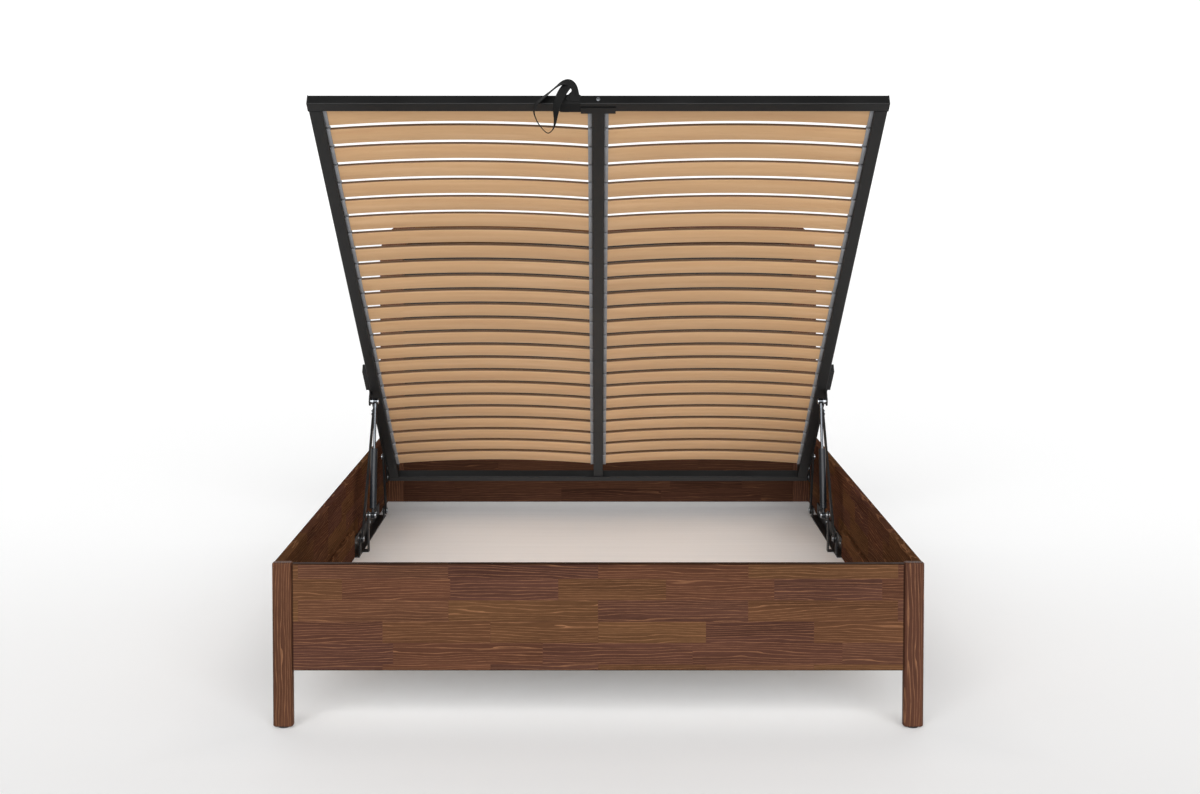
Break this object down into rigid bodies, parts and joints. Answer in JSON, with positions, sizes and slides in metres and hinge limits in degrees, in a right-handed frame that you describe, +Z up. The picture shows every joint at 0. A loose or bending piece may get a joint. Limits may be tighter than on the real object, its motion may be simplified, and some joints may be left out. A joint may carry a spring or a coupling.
{
  "type": "ottoman bed",
  "caption": "Wooden ottoman bed with a headboard: a slatted steel deck lifts on side links and gas struts over a storage box.",
  "frame": {"origin": "on the floor, in the middle of the bed's outline", "axes": "+Z up, +Y from the foot end to the headboard, +X to the right seen from the foot end"},
  "size_m": [1.48, 2.081, 1.4828],
  "materials": {
    "walnut_pine": "walnut-stained glued pine, satin varnish",
    "bare_pine": "planed softwood, unfinished",
    "white_board": "white lacquered fibreboard",
    "black_tube": "black powder coat",
    "black_plate": "black painted pressed steel",
    "strut_paint": "gloss black paint",
    "strut_chrome": "polished rod",
    "zinc_steel": "zinc plated",
    "beech_slat": "bent beech plywood, clear varnish",
    "grey_plastic": "moulded grey plastic",
    "black_plastic": "moulded black plastic",
    "webbing": "woven webbing",
    "pad_cloth": "woven upholstery cloth"
  },
  "bodies": {
    "bed_frame": {"front_leg_left": "walnut_pine", "front_leg_right": "walnut_pine", "front_panel": "walnut_pine", "side_rail_left": "walnut_pine", "side_rail_right": "walnut_pine", "back_panel": "walnut_pine", "headboard_post_left": "walnut_pine", "headboard_post_right": "walnut_pine", "headboard_top_rail": "walnut_pine", "side_plank_left": "walnut_pine", "side_plank_right": "walnut_pine", "joint_dowels": "bare_pine", "deck_rest": "bare_pine", "floor_cleats": "bare_pine", "floor_bearers": "bare_pine", "centre_foot": "bare_pine", "headboard_board": "bare_pine", "storage_floor": "white_board", "mechanism_base_left": "black_plate", "mechanism_base_right": "black_plate", "corner_brackets": "black_plate", "frame_screws": "zinc_steel", "base_pivot_pins": "zinc_steel", "strut_foot_pins": "zinc_steel", "foot_glides": "black_plastic", "headboard_pad": "pad_cloth"},
    "rear_links": {"rear_link_left": "black_plate", "rear_link_right": "black_plate"},
    "slat_deck": {"deck_foot_tube": "black_tube", "deck_head_tube": "black_tube", "deck_side_tube_left": "black_tube", "deck_centre_tube": "black_tube", "deck_side_tube_right": "black_tube", "junction_plates": "black_tube", "slats_left": "beech_slat", "slats_right": "beech_slat", "holders_left_inner": "grey_plastic", "holders_left_outer": "grey_plastic", "holders_right_inner": "grey_plastic", "holders_right_outer": "grey_plastic", "tube_caps": "black_plastic", "deck_screws": "zinc_steel", "top_plate_left": "black_plate", "top_plate_right": "black_plate", "deck_pivot_pins": "zinc_steel", "pull_strap": "webbing"},
    "front_links": {"front_link_left": "black_plate", "front_link_right": "black_plate", "front_link_pins": "zinc_steel"},
    "strut_cylinders": {"strut_cylinder_left": "strut_paint", "strut_cylinder_right": "strut_paint"},
    "strut_rods": {"strut_rod_left": "strut_chrome", "strut_rod_right": "strut_chrome", "strut_rod_pins": "zinc_steel"}
  },
  "joints": [
    {"name": "rear_link_swing", "type": "hinge", "parent": "bed_frame", "child": "rear_links", "pos_m": [0, 0.70124, 0.176], "axis": [1, 0, 0], "range_deg": [-64.11, 0]},
    {"name": "deck_lift", "type": "hinge", "parent": "rear_links", "child": "slat_deck", "pos_m": [0, 0.63881, 0.35998], "axis": [1, 0, 0], "range_deg": [0, 99.72], "deforming": ["pull_strap"]},
    {"name": "front_link_swing", "type": "hinge", "parent": "bed_frame", "child": "front_links", "pos_m": [0, 0.12383, 0.2], "axis": [1, 0, 0], "range_deg": [-35.86, 0]},
    {"name": "strut_tilt", "type": "hinge", "parent": "bed_frame", "child": "strut_cylinders", "pos_m": [0, 0.18083, 0.258], "axis": [1, 0, 0], "range_deg": [-72.11, 0]},
    {"name": "strut_stroke", "type": "slide", "parent": "strut_cylinders", "child": "strut_rods", "axis": [0, 0.2327, 0.9725], "range_m": [-0.11764, 0]}
  ],
  "couplings": [
    {"joint": "deck_lift", "follows": "rear_link_swing", "ratio": -1.5553},
    {"joint": "front_link_swing", "follows": "rear_link_swing", "ratio": 0.55915},
    {"joint": "strut_tilt", "follows": "rear_link_swing", "ratio": 1.1246},
    {"joint": "strut_stroke", "follows": "rear_link_swing", "m_per_rad": 0.10505}
  ]
}
